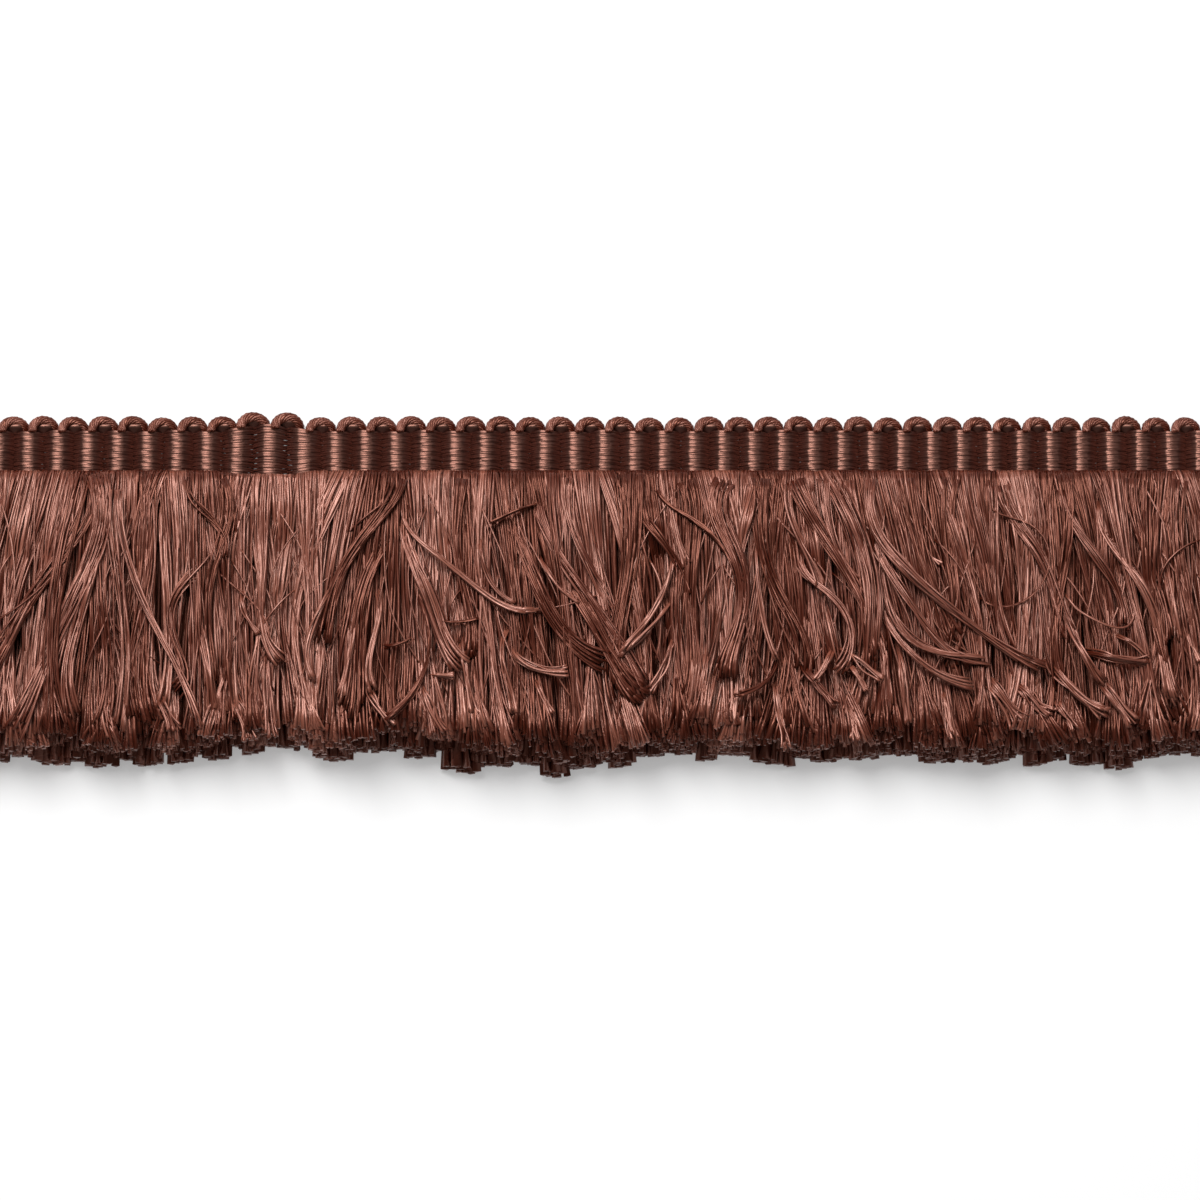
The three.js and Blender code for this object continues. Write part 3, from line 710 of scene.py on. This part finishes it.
lock = {
    "yarn": 0.27, "steps": 21, "thickness": 0.3, "density": 0.75,
    "spread": 1.15, "rooted": 1.25, "loose": 0.6, "waist": 0.65, "flare": 1.3,  # against its noted width
    "waistAt": 0.7, "flareBend": 1.6,
    "rootedTo": 3,  # mm down the brush, above which a lock comes from the roots
    "emerges": 0.45,  # share of its way on which a lock comes out
    "buried": 1.1,  # mm under the face, where a lock starts that doesn't come from the roots
    "rough": 0.03, "longest": 1.04, "sway": 0.12, "swayRate": 7, "thickens": 0.3,
    "bend": 0.25, "bendRate": 0.55, "flatRoot": 4, "crimpRates": (0.8, 1.3),  # rates in radians a mm
    "lowest": 0.2, "sizes": (0.75, 1.2), "untwist": 0.4, "untwistBend": 8,
    "tone": 0.45, "byShade": 2.2, "toneSpread": 0.25, "mostTone": 1.1,
}


# A smooth curve through places given as pairs, read at shares of its length
def through(points, share):
    points = np.array(points, float)
    run = np.concatenate([[0], np.cumsum(np.hypot(*np.diff(points, axis=0).T))])
    degree = len(points) - 1
    return [np.polynomial.Polynomial.fit(run / run[-1], points[:, k], degree)(share) for k in (0, 1)]


# How wide a lock is along its way, against its noted width
def lockWidth(share, fromRoot):
    first = lock["rooted"] if fromRoot else lock["loose"]
    narrowed = np.sin(np.pi / 2 * np.minimum(share / lock["waistAt"], 1))
    opened = np.clip((share - lock["waistAt"]) / (1 - lock["waistAt"]), 0, 1) ** lock["flareBend"]
    return first + (lock["waist"] - first) * narrowed + (lock["flare"] - lock["waist"]) * opened


def lockYarn(share, points, wide, lift, bend, phase):
    fromRoot = points[0][1] < lock["rootedTo"]
    along = np.clip(share * chance.normal(1, lock["rough"]), 0, lock["longest"])
    x, down = through(points, along)
    turn = unit(np.stack([np.gradient(x), np.gradient(down)], 1))
    aside = wide / 2 * lock["spread"] * chance.uniform(-1, 1) * lockWidth(share, fromRoot)
    sway = chance.normal(0, lock["sway"])
    aside = aside + sway * np.sin(share * lock["swayRate"] + chance.uniform(0, 6))
    x, down = x + turn[:, 1] * aside, down - turn[:, 0] * aside
    down = np.maximum(down, brush["rootDown"])
    out = 0.0 if fromRoot else -lock["buried"]
    over = out + (lift - out) * np.sin(np.pi / 2 * np.minimum(share / lock["emerges"], 1))
    over = over + lock["thickness"] * chance.uniform(-1, 1) * share ** lock["thickens"]
    ripple = bend * np.sin(down * lock["bendRate"] + phase)
    over = over + ripple * np.minimum(share * lock["flatRoot"], 1)
    crimp = brush["crimp"] * chance.uniform(*brush["crimpSpread"])
    over = over + crimp * np.sin(down * chance.uniform(*lock["crimpRates"]) + chance.uniform(0, 6))
    x = overRibs(x, down)
    return np.stack([x, -down, np.maximum(brushFace(x, down) + over, lock["lowest"])], 1)


def makeOverlaid():
    share = np.linspace(0, 1, lock["steps"])
    ends = 1 + lock["untwist"] * share ** lock["untwistBend"]
    paths, widths, tones = [], [], []
    for yarns, wide, lift, shade, points in overlaid:
        bend, phase = chance.normal(0, lock["bend"]), chance.uniform(0, 6)
        for _ in range(round(yarns * lock["density"])):
            paths.append(lockYarn(share, points, wide, lift, bend, phase))
            widths.append(lock["yarn"] / 2 * chance.uniform(*lock["sizes"]) * ends)
            spread = chance.uniform(-lock["toneSpread"], lock["toneSpread"])
            # Painted shade of the lock, with a random spread for each yarn
            tones.append(lock["tone"] + lock["byShade"] * shade + spread)
    spins = chance.uniform(0, 2 * np.pi, len(paths))
    tones = np.clip(tones, 0, lock["mostTone"])
    piece = yarnMesh("brushOverlaid", np.array(paths), np.array(widths), 3, tones, spins=spins)
    settle(piece, floss, "brush")


# Binding: the threads that hold the roots, hidden under the first yarns. Their tone is the darkest: painted
# shade under the roots.
binding = {
    "down": 0.55, "thickness": 0.9, "z": (0.5, 1.2), "steps": 61,
    "wobble": 0.05, "wobbleRate": 1.3,  # mm, and radians a mm
}


def makeBinding():
    farthest = halfLength - brush["endRoom"]
    x = np.linspace(-farthest, farthest, binding["steps"])
    paths = []
    for z in binding["z"]:
        wobble = binding["wobble"] * np.sin(x * binding["wobbleRate"] + z)
        paths.append(np.stack([x, -binding["down"] - edgeDip(x) + wobble, np.full_like(x, z)], 1))
    widths = np.full((len(paths), binding["steps"]), binding["thickness"] / 2)
    piece = yarnMesh("brushBinding", np.array(paths), widths, 6, np.zeros(len(paths)), first=(0, 1, 0))
    settle(piece, floss, "brush")


# Single yarns that have come loose: the ones that show most by their way, the others by chance
loose = [
    [(42.5, 2.3), (44.9, 6.1), (48, 8.3), (48.5, 10.9), (46.7, 14.5), (43.6, 15.8), (41, 14.7)],
    [(50, 14.1), (51.6, 16.3), (54.7, 18), (56.8, 18), (57.6, 16.3), (57.6, 14.1)],
    [(64.9, 8.4), (62.6, 9.6), (60.9, 11.5), (60.5, 13.8)],
    [(-56.2, 7.2), (-58.8, 12.2), (-62.1, 15.4), (-65.8, 17.8)],
    [(-41.8, 9.4), (-43.8, 12.2), (-45.8, 14.9), (-46, 17.7)],
    [(-32.9, 13.8), (-34.9, 15.8), (-36.5, 18)],
    [(-22.7, 3.9), (-24.8, 5.5), (-27, 7.4)],
    [(-7.3, 16.4), (-4.8, 16), (-1.1, 14.9), (0.2, 14.3)],
    [(-6.9, 4.4), (-9.4, 5.5), (-11.8, 6.7)],
    [(13.1, 11.2), (11.8, 13.3), (10.9, 15.4)],
    [(-14.6, 13.6), (-15.7, 14.9), (-16.3, 17.4)],
]
stray = {
    "count": 120, "steps": 22, "yarn": 0.24, "leanMean": 0.5, "lean": 2.6, "belly": 2.0,
    "fromEnds": 4,  # mm
    "starts": (0.5, 12), "ends": (20, 29.5),  # mm down the brush
    "leanBend": 1.5, "sway": 0.2, "swayRate": 8,
    "lifts": (0.1, 0.5), "sizes": (0.7, 1.1), "notedLift": 0.7, "notedSize": 1.15,
    "buried": 0.4, "outBend": 0.4,  # both ends lie under the face, and how fast they come out
}


# The way of a yarn that is laid by chance: x, down, lift and size
def strayWay(share):
    farthest = halfLength - stray["fromEnds"]
    root = chance.uniform(-farthest, farthest)
    first, last = chance.uniform(*stray["starts"]), chance.uniform(*stray["ends"])
    lean, belly = chance.normal(stray["leanMean"], stray["lean"]), chance.normal(0, stray["belly"])
    x = root + lean * share ** stray["leanBend"] + belly * np.sin(np.pi * share)
    x = x + combed("lean", root) * share
    x = x + stray["sway"] * np.sin(share * stray["swayRate"] + chance.uniform(0, 6))
    down = first + (last - first) * share
    return x, down, chance.uniform(*stray["lifts"]), chance.uniform(*stray["sizes"])


def makeStrays():
    share = np.linspace(0, 1, stray["steps"])
    ways = [(*through(points, share), stray["notedLift"], stray["notedSize"]) for points in loose]
    ways += [strayWay(share) for _ in range(stray["count"])]
    out = np.sin(np.pi * share) ** stray["outBend"]
    paths, widths = [], []
    for x, down, lift, size in ways:
        x = np.clip(x, -halfLength, halfLength)
        over = -stray["buried"] + (lift + stray["buried"]) * out
        paths.append(np.stack([x, -down, brushFace(x, down) + over], 1))
        widths.append(np.full(stray["steps"], stray["yarn"] / 2 * size))
    tones = chance.uniform(0.2, 1.0, len(paths))
    piece = yarnMesh("brushStrays", np.array(paths), np.array(widths), 3, tones)
    settle(piece, floss, "brush")


makeWarp()
makeWeft()
makeLoops()
for layer in layers:
    makeLayer(layer)
makeBinding()
makeOverlaid()
makeStrays()


# Board, light and camera

view = {
    "elevation": 81.0, "lens": 150.0, "sensor": 36.0, "nearest": 0.01,
    "shownLength": 1200 / 9.18,  # mm across the square picture
    "middleDown": 14.2,  # mm from the heading's lower edge to the picture's middle
    # Degrees over the board, and from the loops' side to the left
    "lampElevation": 57.0, "lampAzimuth": -22.0,
    "lampDistance": 0.9, "lampWidth": 0.4, "lampLength": 0.6, "lampPower": 9.6,
    "skyDim": 0.25, "skyBright": 1.0, "skyFocus": 3.0, "skyTowards": (-0.15, 0.6, 0.78),
}

# Matt white, and it glows a little, as over a light table: painted light, which keeps the shadow beside the
# trim pale
boardLook = {"side": 12.0, "paint": "#c6c6c6", "paintedGlow": "#ffffff", "paintedGlowStrength": 0.3}


def makeBoard():
    half = boardLook["side"] / 2
    corners = [(-half, -half, 0), (half, -half, 0), (half, half, 0), (-half, half, 0)]
    mesh = bpy.data.meshes.new("board")
    mesh.from_pydata(corners, [], [(0, 1, 2, 3)])
    board = bpy.data.objects.new("board", mesh)
    bpy.context.scene.collection.objects.link(board)
    paint = bpy.data.materials.new("mattWhiteBoard")
    paint.use_nodes = True
    shader = paint.node_tree.nodes["Principled BSDF"]
    shader.inputs["Base Color"].default_value = linear(boardLook["paint"])
    # Painted light: the board glows a little, though it is no lamp
    shader.inputs["Emission Color"].default_value = linear(boardLook["paintedGlow"])
    shader.inputs["Emission Strength"].default_value = boardLook["paintedGlowStrength"]
    shader.inputs["Roughness"].default_value = 1.0
    shader.inputs["Specular IOR Level"].default_value = 0.0
    mesh.materials.append(paint)


# A sky that is brighter towards the loops' side
def makeSky():
    world = bpy.data.worlds.new("softSky")
    bpy.context.scene.world = world
    world.use_nodes = True
    tree = world.node_tree
    tree.nodes.clear()
    direction = addNode(tree, "ShaderNodeTexCoord")
    towards = addNode(tree, "ShaderNodeVectorMath", [
        (0, direction.outputs["Generated"]), (1, view["skyTowards"]),
    ], operation="DOT_PRODUCT")
    ahead = addNode(tree, "ShaderNodeMath", [
        (0, towards.outputs["Value"]), (1, 0.0),
    ], operation="MAXIMUM")
    focus = addNode(tree, "ShaderNodeMath", [
        (0, ahead.outputs["Value"]), (1, view["skyFocus"]),
    ], operation="POWER")
    strength = addNode(tree, "ShaderNodeMath", [
        (0, focus.outputs["Value"]), (1, view["skyBright"]), (2, view["skyDim"]),
    ], operation="MULTIPLY_ADD")
    background = addNode(tree, "ShaderNodeBackground", [("Strength", strength.outputs["Value"])])
    addNode(tree, "ShaderNodeOutputWorld", [("Surface", background.outputs["Background"])])


def makeLamp():
    light = bpy.data.lights.new("softbox", "AREA")
    light.shape = "RECTANGLE"
    light.size = view["lampWidth"]
    light.size_y = view["lampLength"]
    light.energy = view["lampPower"]
    lamp = bpy.data.objects.new("softbox", light)
    bpy.context.scene.collection.objects.link(lamp)
    rise, aside = math.radians(view["lampElevation"]), math.radians(view["lampAzimuth"])
    flat = math.cos(rise) * view["lampDistance"]
    lamp.location = (flat * math.sin(aside), flat * math.cos(aside), math.sin(rise) * view["lampDistance"])
    lamp.rotation_euler = (rise - math.pi / 2, 0, -aside)


def makeCamera():
    camera = bpy.data.cameras.new("camera")
    camera.lens = view["lens"]
    camera.sensor_width = view["sensor"]
    camera.clip_start = view["nearest"]
    holder = bpy.data.objects.new("camera", camera)
    bpy.context.scene.collection.objects.link(holder)
    bpy.context.scene.camera = holder
    distance = view["shownLength"] * mm * view["lens"] / view["sensor"]
    rise = math.radians(view["elevation"])
    holder.rotation_euler = (math.pi / 2 - rise, 0, 0)
    holder.location = (
        trimMiddle,
        headingEdge - view["middleDown"] * mm - math.cos(rise) * distance,
        math.sin(rise) * distance,
    )


makeBoard()
makeSky()
makeLamp()
makeCamera()
bpy.context.scene.view_settings.view_transform = "Standard"
